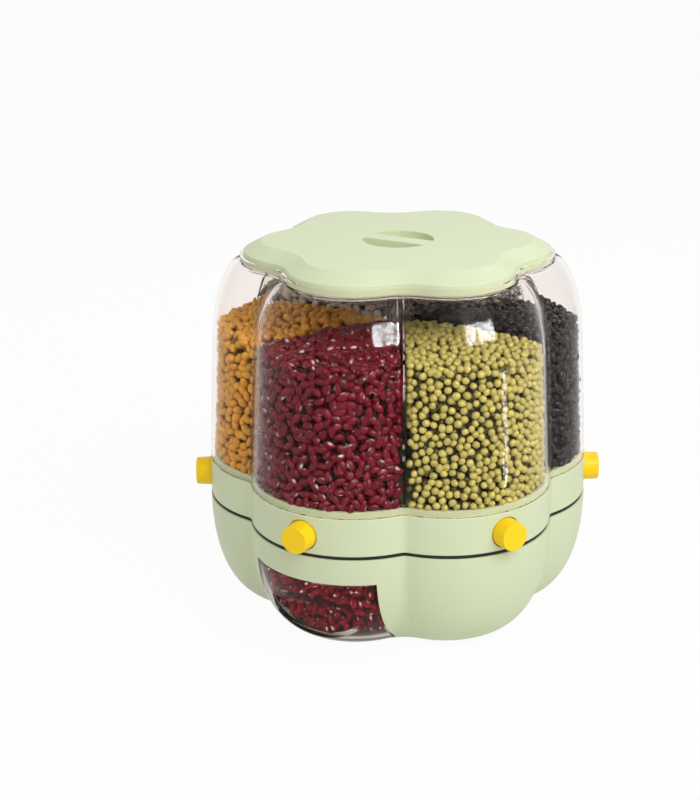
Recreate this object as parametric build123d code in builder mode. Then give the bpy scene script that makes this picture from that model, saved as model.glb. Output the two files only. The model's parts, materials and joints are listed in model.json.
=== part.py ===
from build123d import *
from math import cos, pi, radians, sin, sqrt, tan
import os

# Rotating grain dispenser: a six-lobed turntable bin on a bowl base with a measuring drawer.
# Millimetres. The origin is the middle of the footprint on the table, +Z is up, the drawer faces -Y.

# Flower outline shared by every shell: lobe arcs about six fixed centres, notch arcs between them
lobe_count = 6
drawer_angle = -90.0
lobe_centre = 64.4
ring_reach = 140.0
notch_radius = 8.0

# Clearances
overrun = 2.0
running_gap = 0.3
slide_gap = 0.4
seat_gap = 0.2
shaft_gap = 0.06
thread_gap = 0.05

# Feet
foot_height = 3.0
foot_radius = 9.0
foot_inset = 18.5
foot_recess = 1.0
foot_edge = 0.8

# Base bowl
base_height = 78.8
base_overhang = 0.5
bowl_inset = 40.0
bowl_power = 2.25
base_wall = 2.6
base_floor = 3.0
bowl_section_shares = (0.0, 0.01, 0.03, 0.06, 0.1, 0.15, 0.21, 0.28, 0.36, 0.45, 0.56, 0.7, 0.85, 1.0)
deck_boss_radius = 4.5
deck_boss_inset = 4.3
deck_boss_length = 34.0
screw_bite = 10.0

# Measuring drawer and its tunnel
drawer_width = 95.0
drawer_headroom = 15.0
drawer_back = 44.0
drawer_corner = 7.0
drawer_wall = 2.2
drawer_gap = 0.9
rail_height = 14.0
rail_thickness = 2.0
rail_length = 30.0
stop_height = 10.0
stop_width = 60.0
recess_mouth_width = 84.0
recess_mouth_drop = 18.0
recess_back_width = 56.0
recess_back_drop = 24.0
recess_foot_width = 78.0
recess_depth = 19.5

# Deck that closes the base, its chute and its post
deck_thickness = 3.0
deck_drop = 1.8
chute_inner_margin = 4.0
chute_outer_margin = 4.5
chute_width = 48.0
chute_wall = 2.0
chute_moat = 3.0
chute_lap = 4.0
chute_clearance = 2.5
post_radius = 10.0
pivot_screw_radius = 2.0
pivot_screw_length = 18.0
pivot_head_radius = 5.0
pivot_head_height = 2.8
washer_radius = 16.0
washer_thickness = 1.5
glide_inset = 7.0
glide_width = 7.0

# Screws that hold the deck and the rotor plate
screw_radius = 1.5
screw_head_radius = 3.0
screw_head_height = 1.6
screw_slot = 0.8
screw_slot_depth = 0.8

# Black seal in the seam between base and turntable
seam_gap = 2.4
seal_setback = 1.2
seal_width = 1.1

# Turntable ring
ring_height = 27.7
ring_wall = 2.6
ring_edge = 0.7
lip_setback = 3.4
lip_wall = 2.2
lip_height = 4.1
shelf_thickness = 2.4
shelf_width = 7.0

# Rotor plate under the gates
plate_drop = 0.9
plate_thickness = 2.5
plate_boss_radius = 4.0
plate_boss_inset = 14.3
gate_rib_width = 2.0
gate_rib_height = 2.2
gate_rib_length = 46.0
button_bay_gap = 1.0

# Hopper tray
tray_thickness = 2.4
funnel_wall = 2.0
mouth_inner = 27.0
mouth_inset = 26.4
mouth_inner_web = 11.2
outlet_setback = 36.5
outlet_length = 9.5
outlet_width = 40.0
well_radius = 18.0
well_wall = 2.4
hub_web = 2.4
bush_radius = 13.0
bush_flange_radius = 16.5
bush_flange = 2.0
bush_tail = 8.6

# Push buttons, gates and springs
button_rise = 12.9
button_travel = 10.0
button_radius = 10.0
button_root_radius = 10.6
button_hole_radius = 11.3
button_stand = 11.0
button_edge = 0.9
button_wall = 2.0
button_flange_radius = 12.0
button_flange = 2.4
button_tail = 4.0
gate_thickness = 2.0
gate_lap = 10.0
gate_end = 6.5
gate_width = 50.0
gate_arm_inner = 18.0
gate_arm_outer = 30.0
gate_back = 2.4
gate_back_rise = 6.0
spigot_length = 3.0
spring_room = 19.8
bulkhead_thickness = 2.2
bulkhead_width = 15.0
bulkhead_rise = 7.0
spring_wire = 1.1
spring_radius = 5.0
spring_turns = 6
spring_pin_radius = 3.2
spring_pin_length = 6.0

# Tank
tank_height = 147.6
tank_setback = 0.1
tank_wall = 2.4
tank_straight = 100.0
tank_taper = 7.8
shoulder_inset = 16.1
shoulder_power = 1.8
shoulder_shares = (0.0, 0.14, 0.28, 0.42, 0.56, 0.68, 0.79, 0.88, 0.95, 1.0)
collar_setback = 2.5
collar_wall = 2.2
collar_height = 4.6
ledge_width = 8.0
rib_thickness = 1.5
rib_depth = 4.0
rib_foot = 1.0
rib_head = 12.0

# Divider
vane_thickness = 2.0
vane_headroom = 2.2
divider_tube_radius = 9.0
divider_tube_wall = 2.0
divider_foot_radius = 21.5
divider_foot = 2.0

# Lid
lid_skirt_height = 7.4
lid_crown_height = 6.8
lid_crown_inset = 12.4
lid_wall = 2.4
lid_edge = 1.2
grip_radius = 25.5
grip_bar = 13.5
grip_depth = 9.6
grip_edge = 0.6
liner_thickness = 2.0
plug_setback = 2.3
plug_wall = 2.2
plug_depth = 4.3
lid_seal_height = 2.4
lid_post_radius = 4.0
lid_post_circle = 62.0

# Worked-out places
pitch = 360.0 / lobe_count
half_pitch = pitch / 2
lobe_angles = [drawer_angle + pitch * index for index in range(lobe_count)]
notch_start = drawer_angle + half_pitch
centre_span = ring_reach - lobe_centre + notch_radius
notch_centre = lobe_centre * cos(radians(half_pitch)) + sqrt(
    centre_span**2 - (lobe_centre * sin(radians(half_pitch))) ** 2
)

base_reach = ring_reach + base_overhang
base_bottom = foot_height - foot_recess
base_top = base_bottom + base_height
floor_top = base_bottom + base_floor
foot_circle = base_reach - bowl_inset - foot_inset
drawer_bottom = floor_top + slide_gap
recess_back = base_reach - recess_depth
tunnel_half = drawer_width / 2 + drawer_gap
deck_top = base_top - deck_drop
deck_bottom = deck_top - deck_thickness
drawer_top = deck_bottom - drawer_headroom
recess_mouth_top = drawer_top - recess_mouth_drop
recess_back_top = drawer_top - recess_back_drop
ring_bottom = base_top + seam_gap
button_height = ring_bottom + button_rise
ring_top = ring_bottom + ring_height
plate_bottom = ring_bottom + plate_drop
plate_top = plate_bottom + plate_thickness
gate_bottom = plate_top + running_gap
gate_top = gate_bottom + gate_thickness
outlet_bottom = gate_top + slide_gap
tray_bottom = ring_top - slide_gap
tray_top = tray_bottom + tray_thickness
web_bottom = plate_top + bush_tail - hub_web
web_top = web_bottom + hub_web
bush_top = web_top + bush_flange
post_top = bush_top + running_gap
tank_top = ring_top + tank_height
ledge_bottom = tank_top - tank_wall
tank_reach = ring_reach - tank_setback
collar_reach = tank_reach - tank_taper - shoulder_inset - collar_setback
opening_reach = collar_reach - ledge_width
lid_bottom = tank_top + running_gap
skirt_top = lid_bottom + lid_skirt_height
lid_top = skirt_top + lid_crown_height
lid_reach = collar_reach - collar_wall - slide_gap
lid_crown_reach = lid_reach - lid_crown_inset
liner_top = lid_bottom + liner_thickness
plug_reach = opening_reach - plug_setback
vane_top = ledge_bottom - vane_headroom
lip_top = ring_top + lip_height
lip_inner = ring_reach - lip_setback - lip_wall

AT_FOOT = (Align.CENTER, Align.CENTER, Align.MIN)
AT_HEAD = (Align.CENTER, Align.CENTER, Align.MAX)
FROM_AXIS = (Align.MIN, Align.CENTER, Align.MIN)


def polar(radius, angle):
    """Point in plan at a radius and an angle in degrees."""
    return Vector(radius * cos(radians(angle)), radius * sin(radians(angle)))


def meeting_point(lobe_angle, notch_angle, lobe_radius):
    """Where a lobe's arc runs over into the notch arc beside it."""
    centre = polar(lobe_centre, lobe_angle)
    return centre + (polar(notch_centre, notch_angle) - centre) * (lobe_radius / centre_span)


def flower(reach, height):
    """The six-lobed outline that reaches a given radius at its lobes, as a face at a height."""
    lobe_radius = reach - lobe_centre
    with BuildSketch(Plane.XY.offset(height)) as outline:
        with BuildLine():
            for angle in lobe_angles:
                notch = angle + half_pitch
                start = meeting_point(angle, angle - half_pitch, lobe_radius)
                end = meeting_point(angle, notch, lobe_radius)
                ThreePointArc(start, polar(reach, angle), end)
                onward = meeting_point(angle + pitch, notch, lobe_radius)
                ThreePointArc(end, polar(notch_hollow(reach), notch), onward)
        make_face()
    return outline.sketch


def notch_hollow(reach):
    """How far out the middle of a notch is, for an outline of a given reach."""
    return notch_centre - centre_span + reach - lobe_centre


def lobe_reach_across(reach, half_width):
    """How far out a lobe's arc still is at a half width beside its middle."""
    return lobe_centre + sqrt((reach - lobe_centre) ** 2 - half_width**2)


def lobe_half_width(reach, distance):
    """Half the width of a lobe's arc at a distance out along its middle."""
    return sqrt((reach - lobe_centre) ** 2 - (distance - lobe_centre) ** 2)


def bowl_reach(share):
    """Reach of the bowl's outside at a share of its height: a flattened quarter round."""
    return base_reach - bowl_inset * (1 - (1 - (1 - share) ** bowl_power) ** (1 / bowl_power))


def bowl_sections(setback, lift):
    """Outlines up the bowl, drawn in by a setback and raised by a lift."""
    return [
        flower(bowl_reach(share) - setback, base_bottom + lift + share * base_height)
        for share in bowl_section_shares
    ]


def tank_reach_at(height):
    """Reach of the tank's outside at a height above its foot: a slight taper, then a rounded shoulder."""
    share = max(0.0, (height - tank_straight) / (tank_height - tank_straight))
    drawn_in = 1 - (1 - share**shoulder_power) ** (1 / shoulder_power)
    return tank_reach - tank_taper * height / tank_height - shoulder_inset * drawn_in


def tank_outline(height, setback, drop):
    """Outline of the tank at a height above its foot, drawn in by a setback and lowered by a drop."""
    return flower(tank_reach_at(height) - setback, ring_top + height - drop)


def notch_wall(setback, lowest, highest):
    """Points up the tank's inside in the middle of a notch, as radius and height, drawn in by a setback."""
    rise = tank_height - tank_straight
    between = [tank_straight + rise * share for share in shoulder_shares]
    heights = [lowest] + [height for height in between if lowest < height < highest] + [highest]
    return [
        (notch_hollow(tank_reach_at(height + tank_wall) - setback), ring_top + height)
        for height in heights
    ]


def drawer_section(gap, bottom):
    """The drawer's cross section, grown by a gap, seen from the front and placed behind it."""
    top = drawer_top + gap
    with BuildSketch(Plane.XZ.offset(drawer_back - gap)) as section:
        with Locations((0, (top + bottom) / 2)):
            Rectangle(drawer_width + 2 * gap, top - bottom)
        fillet(section.vertices().group_by(Axis.Y)[0], drawer_corner + gap)
    return section.sketch


def upright_face(distance, bottom, top, foot_width, head_width):
    """A trapezium that stands across the drawer at a distance in front of the axis."""
    with BuildSketch(Plane.XZ.offset(distance)) as face:
        with BuildLine():
            Polyline(
                (-foot_width / 2, bottom),
                (foot_width / 2, bottom),
                (head_width / 2, top),
                (-head_width / 2, top),
                close=True,
            )
        make_face()
    return face.sketch


def level_face(height, inner, outer, inner_width, outer_width):
    """A level trapezium in the first lobe's own frame, from an inner to an outer radius."""
    with BuildSketch(Plane.XY.offset(height)) as face:
        with BuildLine():
            Polyline(
                (inner, -inner_width / 2),
                (outer, -outer_width / 2),
                (outer, outer_width / 2),
                (inner, inner_width / 2),
                close=True,
            )
        make_face()
    return face.sketch


def write(piece, node):
    """Label a finished piece and write it."""
    piece.part.label = node
    export_step(piece.part, f"parts/{node}.step")


# Places that follow the outline: screw circles, and the row from the button in to the outlet and its chute
deck_boss_circle = notch_hollow(base_reach - base_wall) - deck_boss_inset
plate_boss_circle = notch_hollow(ring_reach - ring_wall) - plate_boss_inset
glide_outer = plate_boss_circle - glide_inset
glide_inner = glide_outer - glide_width
button_reach = ring_reach + button_stand
flange_face = lobe_reach_across(ring_reach - ring_wall, button_flange_radius) - running_gap
button_inner = flange_face - button_flange - button_tail
back_inner = button_inner - gate_back
bulkhead_face = back_inner - spring_room
outlet_inner = bulkhead_face - outlet_setback
outlet_outer = outlet_inner + outlet_length
gate_inner = outlet_inner - gate_lap
window_inner = outlet_inner + button_travel
gate_outer = window_inner + outlet_length + gate_end
chute_inner = outlet_inner - chute_inner_margin
chute_outer = outlet_outer + chute_outer_margin
mouth_outer = lip_inner - mouth_inset
mouth_inner_width = 2 * mouth_inner * tan(radians(half_pitch)) - mouth_inner_web
mouth_half = lobe_half_width(ring_reach - ring_wall - shelf_width, mouth_outer + funnel_wall) - funnel_wall
mouth_outer_width = 2 * (mouth_half - slide_gap)

os.makedirs("parts", exist_ok=True)

# Base shell: bowl with a drawer tunnel, deck bosses, drawer rails and a back stop
with BuildPart() as bowl_outside:
    loft(bowl_sections(0, 0))

with BuildPart() as bowl_inside:
    loft(bowl_sections(base_wall, base_floor))

with BuildPart() as base_fittings:
    with Locations((0, 0, deck_bottom)):
        with PolarLocations(deck_boss_circle, lobe_count, notch_start):
            Cylinder(deck_boss_radius, deck_boss_length, align=AT_HEAD)
    rail_place = tunnel_half + rail_thickness / 2
    for side in (-1, 1):
        with Locations((side * rail_place, -drawer_back - rail_length / 2, base_bottom)):
            Box(rail_thickness, rail_length, base_floor + rail_height, align=AT_FOOT)
    with Locations((0, -drawer_back + drawer_gap + rail_thickness / 2, base_bottom)):
        Box(stop_width, rail_thickness, base_floor + stop_height, align=AT_FOOT)
    add(bowl_outside.part, mode=Mode.INTERSECT)

with BuildPart() as base_shell:
    add(bowl_outside.part)
    add(bowl_inside.part, mode=Mode.SUBTRACT)
    add(base_fittings.part)
    extrude(drawer_section(drawer_gap, floor_top), amount=base_reach, mode=Mode.SUBTRACT)
    with Locations((0, 0, deck_bottom - screw_bite)):
        with PolarLocations(deck_boss_circle, lobe_count, notch_start):
            Cylinder(screw_radius + thread_gap, screw_bite, align=AT_FOOT, mode=Mode.SUBTRACT)
    with Locations((0, 0, base_bottom)):
        with PolarLocations(foot_circle, lobe_count, drawer_angle):
            Cylinder(foot_radius + seat_gap, foot_recess, align=AT_FOOT, mode=Mode.SUBTRACT)
write(base_shell, "base_shell")

# Rubber feet
for number, angle in enumerate(lobe_angles, start=1):
    place = polar(foot_circle, angle)
    with BuildPart() as foot:
        with Locations(place):
            Cylinder(foot_radius, foot_height, align=AT_FOOT)
        fillet(foot.edges().group_by(Axis.Z)[0], foot_edge)
    write(foot, f"foot_{number}")

# Deck with the post that the turntable turns on, and the hole over the drawer for the chute
deck_share = (deck_top - floor_top) / base_height
deck_reach = bowl_reach(deck_share) - base_wall - slide_gap
spout_bottom = drawer_top + chute_clearance
chute_place = -(chute_inner + chute_outer) / 2
chute_length = chute_outer - chute_inner
deck_hole_width = chute_width + 2 * (chute_wall + chute_moat)
deck_hole_length = chute_length + 2 * (chute_wall + chute_moat)
with BuildPart() as base_deck:
    extrude(flower(deck_reach, deck_bottom), amount=deck_thickness)
    with Locations((0, chute_place, deck_bottom)):
        Box(deck_hole_width, deck_hole_length, deck_thickness, align=AT_FOOT, mode=Mode.SUBTRACT)
    with Locations((0, 0, deck_top)):
        Cylinder(post_radius, post_top - deck_top, align=AT_FOOT)
        with PolarLocations(deck_boss_circle, lobe_count, notch_start):
            Cylinder(screw_radius + seat_gap, deck_thickness, align=AT_HEAD, mode=Mode.SUBTRACT)
    with Locations((0, 0, post_top)):
        Cylinder(pivot_screw_radius + thread_gap, pivot_screw_length, align=AT_HEAD, mode=Mode.SUBTRACT)
write(base_deck, "base_deck")

# Chute that comes up through the deck's hole and laps under the deck with a flange
with BuildPart() as drop_chute:
    with Locations((0, chute_place, spout_bottom)):
        Box(
            chute_width + 2 * chute_wall,
            chute_length + 2 * chute_wall,
            deck_top - spout_bottom,
            align=AT_FOOT,
        )
    with Locations((0, chute_place, deck_bottom)):
        Box(deck_hole_width + 2 * chute_lap, deck_hole_length + 2 * chute_lap, chute_wall, align=AT_HEAD)
    with Locations((0, chute_place, spout_bottom)):
        Box(chute_width, chute_length, deck_top - spout_bottom, align=AT_FOOT, mode=Mode.SUBTRACT)
write(drop_chute, "drop_chute")

with BuildPart() as deck_screws:
    with Locations((0, 0, deck_top)):
        with PolarLocations(deck_boss_circle, lobe_count, notch_start):
            Cylinder(screw_head_radius, screw_head_height, align=AT_FOOT)
            Cylinder(screw_radius, deck_thickness + screw_bite, align=AT_HEAD)
    with Locations((0, 0, deck_top + screw_head_height)):
        with PolarLocations(deck_boss_circle, lobe_count, notch_start):
            Box(2 * screw_radius, screw_slot, screw_slot_depth, align=AT_HEAD, mode=Mode.SUBTRACT)
            Box(screw_slot, 2 * screw_radius, screw_slot_depth, align=AT_HEAD, mode=Mode.SUBTRACT)
write(deck_screws, "deck_screws")

with BuildPart() as glide_ring:
    with Locations((0, 0, deck_top)):
        Cylinder(glide_outer, plate_bottom - running_gap - deck_top, align=AT_FOOT)
        Cylinder(glide_inner, plate_bottom - deck_top, align=AT_FOOT, mode=Mode.SUBTRACT)
write(glide_ring, "glide_ring")

with BuildPart() as rim_seal:
    extrude(flower(base_reach - seal_setback, base_top), amount=seam_gap - running_gap)
    seal_inside = flower(base_reach - seal_setback - seal_width, base_top)
    extrude(seal_inside, amount=seam_gap, mode=Mode.SUBTRACT)
write(rim_seal, "rim_seal")

with BuildPart() as pivot_washer:
    with Locations((0, 0, post_top)):
        Cylinder(washer_radius, washer_thickness, align=AT_FOOT)
        Cylinder(pivot_screw_radius + seat_gap, washer_thickness, align=AT_FOOT, mode=Mode.SUBTRACT)
write(pivot_washer, "pivot_washer")

with BuildPart() as pivot_screw:
    with Locations((0, 0, post_top + washer_thickness)):
        Cylinder(pivot_head_radius, pivot_head_height, align=AT_FOOT)
        Cylinder(pivot_screw_radius, washer_thickness + pivot_screw_length, align=AT_HEAD)
    with Locations((0, 0, post_top + washer_thickness + pivot_head_height)):
        Box(pivot_head_radius, screw_slot, screw_slot_depth, align=AT_HEAD, mode=Mode.SUBTRACT)
        Box(screw_slot, pivot_head_radius, screw_slot_depth, align=AT_HEAD, mode=Mode.SUBTRACT)
write(pivot_screw, "pivot_screw")

# Measuring drawer: a cup whose front follows the bowl, with a finger recess under it
with BuildPart() as recess_block:
    loft(
        [
            upright_face(recess_back - drawer_wall, base_bottom, recess_back_top + drawer_wall,
                         recess_foot_width + 2 * drawer_wall, recess_back_width + 2 * drawer_wall),
            upright_face(base_reach, base_bottom, recess_mouth_top + drawer_wall,
                         recess_mouth_width + 2 * drawer_wall, recess_mouth_width + 2 * drawer_wall),
        ],
        ruled=True,
    )

with BuildPart() as recess_space:
    loft(
        [
            upright_face(recess_back, base_bottom, recess_back_top, recess_foot_width, recess_back_width),
            upright_face(base_reach, base_bottom, recess_mouth_top, recess_mouth_width, recess_mouth_width),
        ],
        ruled=True,
    )

with BuildPart() as cup_space:
    with Locations((0, -drawer_back - drawer_wall, drawer_bottom + drawer_wall)):
        Box(
            drawer_width - 2 * drawer_wall,
            base_reach,
            drawer_top,
            align=(Align.CENTER, Align.MAX, Align.MIN),
        )
    fillet(cup_space.edges().filter_by(Axis.Y).group_by(Axis.Z)[0], drawer_corner - drawer_wall)
    add(bowl_inside.part, mode=Mode.INTERSECT)
    add(recess_block.part, mode=Mode.SUBTRACT)

with BuildPart() as measuring_drawer:
    extrude(drawer_section(0, drawer_bottom), amount=base_reach)
    add(bowl_outside.part, mode=Mode.INTERSECT)
    add(cup_space.part, mode=Mode.SUBTRACT)
    add(recess_space.part, mode=Mode.SUBTRACT)
write(measuring_drawer, "measuring_drawer")

# Turntable ring: skirt with six button holes, a shelf for the tray and the lip inside the tank's foot
with BuildPart() as rotor_ring:
    extrude(flower(ring_reach, ring_bottom), amount=ring_height)
    fillet(rotor_ring.edges().filter_by(GeomType.CIRCLE).filter_by(Plane.XY), ring_edge)
    extrude(flower(ring_reach - lip_setback, ring_top), amount=lip_height)
    skirt_inside = flower(ring_reach - ring_wall, ring_bottom)
    shelf_inside = flower(ring_reach - ring_wall - shelf_width, ring_bottom)
    extrude(skirt_inside, amount=ring_height - shelf_thickness, mode=Mode.SUBTRACT)
    extrude(shelf_inside, amount=ring_height, mode=Mode.SUBTRACT)
    extrude(flower(lip_inner, tray_bottom), amount=lip_top - tray_bottom, mode=Mode.SUBTRACT)
    with Locations((0, 0, button_height)):
        with PolarLocations(0, lobe_count, drawer_angle):
            Cylinder(
                button_hole_radius,
                ring_reach,
                rotation=(0, 90, 0),
                align=AT_FOOT,
                mode=Mode.SUBTRACT,
            )
write(rotor_ring, "rotor_ring")

# Rotor plate: outlets, a spring bulkhead with a pin for each button, and ribs that guide the gates
with BuildPart() as gate_station:
    with Locations((bulkhead_face, 0, plate_top)):
        Box(
            bulkhead_thickness,
            bulkhead_width,
            button_height + bulkhead_rise - plate_top,
            align=(Align.MAX, Align.CENTER, Align.MIN),
        )
    with Locations((bulkhead_face, 0, button_height)):
        Cylinder(spring_pin_radius, spring_pin_length, rotation=(0, 90, 0), align=AT_FOOT)
    rib_place = (gate_width + gate_rib_width) / 2 + slide_gap
    with Locations((gate_inner, -rib_place, plate_top), (gate_inner, rib_place, plate_top)):
        Box(gate_rib_length, gate_rib_width, gate_rib_height, align=FROM_AXIS)

with BuildPart() as rotor_plate:
    extrude(flower(ring_reach - ring_wall - slide_gap, plate_bottom), amount=plate_thickness)
    with PolarLocations(0, lobe_count, drawer_angle):
        add(gate_station.part)
    with Locations((0, 0, plate_bottom)):
        Cylinder(well_radius + well_wall, plate_thickness, align=AT_FOOT, mode=Mode.SUBTRACT)
        with PolarLocations(outlet_inner - funnel_wall / 2, lobe_count, drawer_angle):
            Box(
                outlet_length + funnel_wall,
                outlet_width,
                plate_thickness,
                align=FROM_AXIS,
                mode=Mode.SUBTRACT,
            )
        with PolarLocations(button_inner - button_travel - button_bay_gap, lobe_count, drawer_angle):
            Box(
                button_reach,
                2 * (button_flange_radius + button_bay_gap),
                plate_thickness,
                align=FROM_AXIS,
                mode=Mode.SUBTRACT,
            )
        with PolarLocations(plate_boss_circle, lobe_count, notch_start):
            Cylinder(screw_radius + seat_gap, plate_thickness, align=AT_FOOT, mode=Mode.SUBTRACT)
write(rotor_plate, "rotor_plate")

with BuildPart() as plate_screws:
    with Locations((0, 0, plate_bottom)):
        with PolarLocations(plate_boss_circle, lobe_count, notch_start):
            Cylinder(screw_head_radius, screw_head_height, align=AT_HEAD)
            Cylinder(screw_radius, plate_thickness + screw_bite, align=AT_FOOT)
    with Locations((0, 0, plate_bottom - screw_head_height)):
        with PolarLocations(plate_boss_circle, lobe_count, notch_start):
            Box(2 * screw_radius, screw_slot, screw_slot_depth, align=AT_FOOT, mode=Mode.SUBTRACT)
            Box(screw_slot, 2 * screw_radius, screw_slot_depth, align=AT_FOOT, mode=Mode.SUBTRACT)
write(plate_screws, "plate_screws")

# Hopper tray: floor with six mouths, screw bosses and the hub well
mouth = level_face(tray_bottom, mouth_inner, mouth_outer, mouth_inner_width, mouth_outer_width)
with BuildPart() as mouth_space:
    extrude(mouth, amount=tray_thickness)

with BuildPart() as hopper_tray:
    extrude(flower(lip_inner - slide_gap, tray_bottom), amount=tray_thickness)
    with Locations((0, 0, web_bottom)):
        Cylinder(well_radius + well_wall, tray_top - web_bottom, align=AT_FOOT)
    with Locations((0, 0, plate_top)):
        with PolarLocations(plate_boss_circle, lobe_count, notch_start):
            Cylinder(plate_boss_radius, tray_top - plate_top, align=AT_FOOT)
            Cylinder(screw_radius + thread_gap, screw_bite, align=AT_FOOT, mode=Mode.SUBTRACT)
    with PolarLocations(0, lobe_count, drawer_angle):
        add(mouth_space.part, mode=Mode.SUBTRACT)
    with Locations((0, 0, web_top)):
        Cylinder(well_radius, tray_top - web_top, align=AT_FOOT, mode=Mode.SUBTRACT)
    with Locations((0, 0, web_bottom)):
        Cylinder(bush_radius + shaft_gap, hub_web, align=AT_FOOT, mode=Mode.SUBTRACT)
write(hopper_tray, "hopper_tray")

# Funnel under each mouth, down to the gate
with BuildPart() as funnel_space:
    throat = level_face(outlet_bottom, outlet_inner, outlet_outer, outlet_width, outlet_width)
    loft([throat, mouth], ruled=True)

with BuildPart() as funnel_blank:
    loft(
        [
            level_face(
                outlet_bottom,
                outlet_inner - funnel_wall,
                outlet_outer + funnel_wall,
                outlet_width + 2 * funnel_wall,
                outlet_width + 2 * funnel_wall,
            ),
            level_face(
                tray_bottom,
                mouth_inner - funnel_wall,
                mouth_outer + funnel_wall,
                mouth_inner_width + 2 * funnel_wall,
                mouth_outer_width + 2 * funnel_wall,
            ),
        ],
        ruled=True,
    )
    add(funnel_space.part, mode=Mode.SUBTRACT)

for number, angle in enumerate(lobe_angles, start=1):
    with BuildPart() as funnel:
        add(funnel_blank.part.rotate(Axis.Z, angle))
    write(funnel, f"outlet_funnel_{number}")

with BuildPart() as pivot_bush:
    with Locations((0, 0, plate_top)):
        Cylinder(bush_radius, bush_top - plate_top, align=AT_FOOT)
    with Locations((0, 0, web_top)):
        Cylinder(bush_flange_radius, bush_flange, align=AT_FOOT)
    with Locations((0, 0, plate_top)):
        Cylinder(post_radius + shaft_gap, bush_top - plate_top, align=AT_FOOT, mode=Mode.SUBTRACT)
write(pivot_bush, "pivot_bush")

# Push button, made once in the first lobe's frame and then set under each lobe
with BuildPart(Plane(origin=(button_inner, 0, button_height), z_dir=(1, 0, 0))) as button_blank:
    Cylinder(button_root_radius, ring_reach - button_inner, align=AT_FOOT)
    with Locations((0, 0, ring_reach - button_inner)):
        Cone(button_root_radius, button_radius, button_reach - ring_reach, align=AT_FOOT)
    fillet(button_blank.edges().group_by(Axis.X)[-1], button_edge)
    with Locations((0, 0, button_tail)):
        Cylinder(button_flange_radius, button_flange, align=AT_FOOT)
    Cylinder(
        button_radius - button_wall,
        button_reach - button_wall - button_inner,
        align=AT_FOOT,
        mode=Mode.SUBTRACT,
    )

# Gate that the button carries: a blade with a window, two arms past the bulkhead, and a back plate
with BuildPart() as gate_blank:
    with Locations((gate_inner, 0, gate_bottom)):
        Box(gate_outer - gate_inner, gate_width, gate_thickness, align=FROM_AXIS)
    with Locations((window_inner, 0, gate_bottom)):
        Box(outlet_length, outlet_width, gate_thickness, align=FROM_AXIS, mode=Mode.SUBTRACT)
    arm_width = (gate_arm_outer - gate_arm_inner) / 2
    arm_place = (gate_arm_outer + gate_arm_inner) / 4
    with Locations((gate_outer, -arm_place, gate_bottom), (gate_outer, arm_place, gate_bottom)):
        Box(back_inner - gate_outer, arm_width, gate_thickness, align=FROM_AXIS)
    with Locations((back_inner, 0, gate_bottom)):
        Box(gate_back, gate_arm_outer, button_height + gate_back_rise - gate_bottom, align=FROM_AXIS)
    with Locations((button_inner, 0, button_height)):
        Cylinder(
            button_radius - button_wall - shaft_gap,
            spigot_length,
            rotation=(0, 90, 0),
            align=AT_FOOT,
        )

# Return spring between the bulkhead and the gate's back plate, turns made of short tangent arcs
spring_start = bulkhead_face + spring_wire / 2 + seat_gap
spring_length = back_inner - bulkhead_face - spring_wire - 2 * seat_gap
arcs_per_turn = 4


def spring_point(turn):
    """Point and direction of the wire's middle after some turns."""
    swing = 2 * pi * turn
    point = Vector(
        spring_start + spring_length * turn / spring_turns,
        spring_radius * cos(swing),
        button_height + spring_radius * sin(swing),
    )
    heading = Vector(
        spring_length / spring_turns,
        -2 * pi * spring_radius * sin(swing),
        2 * pi * spring_radius * cos(swing),
    )
    return point, heading.normalized()


def biarc_middle(start, start_heading, end, end_heading):
    """Joint of two tangent arcs that lead from one heading to the other."""
    chord = end - start
    both = start_heading + end_heading
    first = both.dot(both) - 4
    second = -2 * chord.dot(both)
    third = chord.dot(chord)
    leg = (-second - sqrt(second**2 - 4 * first * third)) / (2 * first)
    if leg < 0:
        leg = (-second + sqrt(second**2 - 4 * first * third)) / (2 * first)
    return (start + start_heading * leg + end - end_heading * leg) / 2


with BuildPart() as spring_blank:
    with BuildLine() as coil:
        for step in range(spring_turns * arcs_per_turn):
            here, heading = spring_point(step / arcs_per_turn)
            there, onward = spring_point((step + 1) / arcs_per_turn)
            middle = biarc_middle(here, heading, there, onward)
            first_arc = TangentArc(here, middle, tangent=heading)
            TangentArc(middle, there, tangent=first_arc % 1)
    first_point, first_heading = spring_point(0)
    with BuildSketch(Plane(origin=first_point, z_dir=first_heading)):
        Circle(spring_wire / 2)
    sweep(path=coil.wire())
print(f"least gap between spring turns: {spring_length / spring_turns - spring_wire:.2f} mm")

for number, angle in enumerate(lobe_angles, start=1):
    with BuildPart() as button_cap:
        add(button_blank.part.rotate(Axis.Z, angle))
    write(button_cap, f"button_cap_{number}")
    with BuildPart() as gate:
        add(gate_blank.part.rotate(Axis.Z, angle))
    write(gate, f"gate_{number}")
    with BuildPart() as spring:
        add(spring_blank.part.rotate(Axis.Z, angle))
    write(spring, f"spring_{number}")

# Tank: clear shell with rounded shoulders, a ledge and collar for the lid, and rib pairs at the notches
shoulder_heights = [tank_straight + (tank_height - tank_straight) * share for share in shoulder_shares]
with BuildPart() as tank_inside:
    loft(
        [tank_outline(0, tank_wall, tank_wall), tank_outline(tank_straight, tank_wall, tank_wall)],
        ruled=True,
    )
    loft([tank_outline(height, tank_wall, tank_wall) for height in shoulder_heights])

rib_bottom = lip_height + rib_foot
rib_top = tank_straight - rib_head
with BuildPart() as rib_blank:
    with BuildSketch(Plane.XZ):
        with BuildLine():
            outer_edge = notch_wall(tank_wall / 2, rib_bottom, rib_top)
            inner_edge = notch_wall(tank_wall + rib_depth, rib_bottom, rib_top)
            Polyline(*outer_edge, *reversed(inner_edge), close=True)
        make_face()
    extrude(amount=rib_thickness / 2, both=True)

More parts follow.
